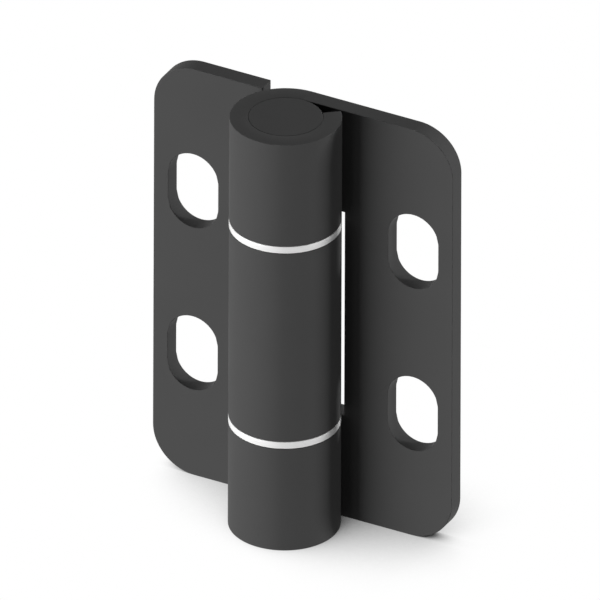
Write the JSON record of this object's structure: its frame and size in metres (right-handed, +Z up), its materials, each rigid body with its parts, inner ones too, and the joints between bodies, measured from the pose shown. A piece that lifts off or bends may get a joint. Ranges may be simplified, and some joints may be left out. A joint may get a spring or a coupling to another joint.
{
  "type": "leaf hinge",
  "caption": "Rolled sheet-steel leaf hinge with interlocking knuckles on a flush pin, plastic washers between them and slotted screw holes in both leaves.",
  "frame": {"origin": "foot of the hinge on the pin's axis, when the hinge stands on its end and is opened flat", "axes": "+Z up along the pin; the fronts of the leaves, where the knuckles stand out, face -Y; the leaf with the two outer knuckles reaches to +X"},
  "size_m": [0.036, 0.012, 0.05],
  "materials": {
    "leaf_coating": "satin charcoal coating",
    "pin_coating": "satin charcoal coating",
    "washer_plastic": "smooth white"
  },
  "bodies": {
    "outer_leaf_body": {"outer_leaf": "leaf_coating", "hinge_pin": "pin_coating", "upper_washer": "washer_plastic", "lower_washer": "washer_plastic"},
    "inner_leaf_body": {"inner_leaf": "leaf_coating"}
  },
  "joints": [
    {"name": "leaf_fold", "type": "hinge", "parent": "outer_leaf_body", "child": "inner_leaf_body", "pos_m": [0, 0, 0.025], "axis": [0, 0, 1], "range_deg": [-71, 204]}
  ]
}
